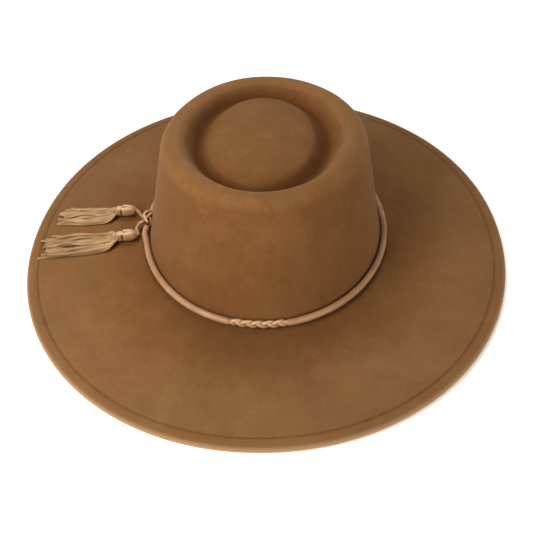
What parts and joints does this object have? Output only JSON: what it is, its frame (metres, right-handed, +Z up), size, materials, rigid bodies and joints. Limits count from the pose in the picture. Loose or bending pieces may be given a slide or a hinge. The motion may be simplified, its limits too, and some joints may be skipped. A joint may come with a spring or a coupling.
{
  "type": "flat-brimmed hat",
  "caption": "Wide flat-brimmed felt hat with a sunk telescope crown, a round leather cord band plaited at the front and suede fringe tassels at one side.",
  "frame": {"origin": "centre of the brim's outline on the plane that the hat rests on", "axes": "+Z up; +Y from the plaited front to the back of the head oval; the tassels lie at -X"},
  "size_m": [0.35, 0.382, 0.0929],
  "materials": {
    "felt": "brushed wool felt",
    "cord_leather": "soft matt",
    "tassel_suede": "suede"
  },
  "bodies": {
    "root": {"felt_body": "felt", "band_cord_front": "cord_leather", "band_cord_back": "cord_leather", "band_plait": "cord_leather", "band_knot": "cord_leather", "lace_upper": "cord_leather", "lace_lower": "cord_leather", "tassel_upper": "tassel_suede", "tassel_lower": "tassel_suede"}
  },
  "joints": []
}
